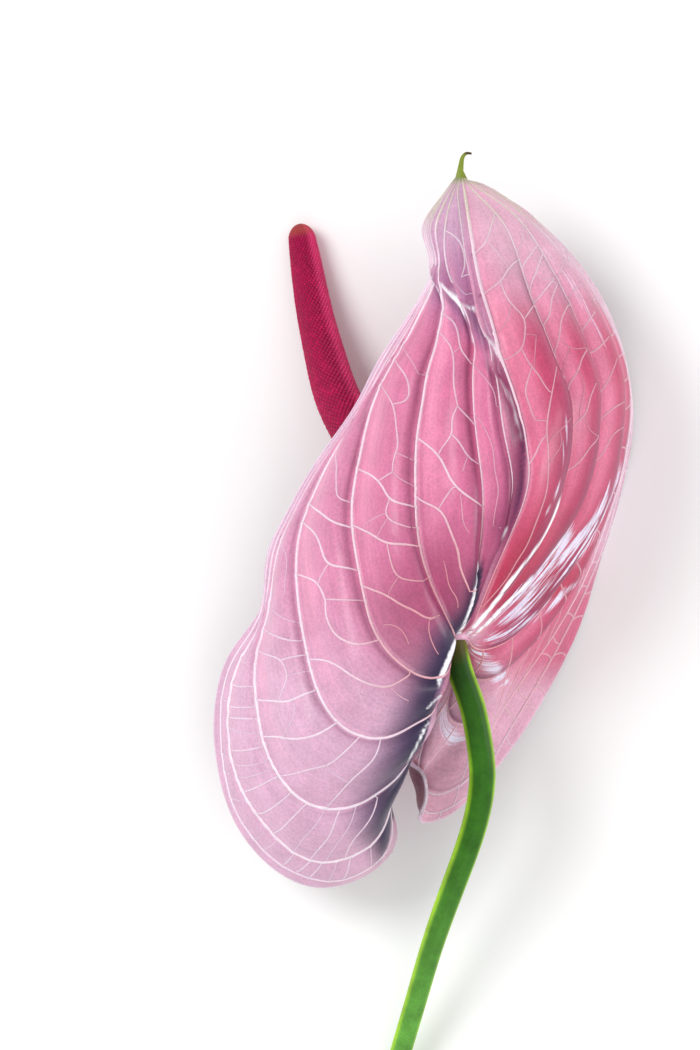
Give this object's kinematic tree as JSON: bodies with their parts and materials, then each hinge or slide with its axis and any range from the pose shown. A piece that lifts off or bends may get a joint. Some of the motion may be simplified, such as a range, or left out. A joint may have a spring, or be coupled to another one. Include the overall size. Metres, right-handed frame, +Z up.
{
  "type": "anthurium flower",
  "caption": "Cut anthurium flower lying down: a folded, waxy pink spathe with raised veins, a red spadix set with florets and a bent green peduncle.",
  "frame": {"origin": "centre of the bounding box's bottom face, on the surface that the flower lies on", "axes": "+Y from the peduncle's cut end towards the tip of the spathe, +Z up away from the surface, +X to the right when the flower's back is looked down on with the tip away from the viewer"},
  "size_m": [0.0844, 0.2054, 0.0513],
  "materials": {
    "spathe": "waxy, glossy, thin and leathery bract",
    "spadix": "satin, set with fine diamond-shaped florets",
    "peduncle": "smooth, waxy green stalk"
  },
  "bodies": {
    "root": {"spathe": "spathe", "spadix": "spadix", "peduncle": "peduncle"}
  },
  "joints": []
}
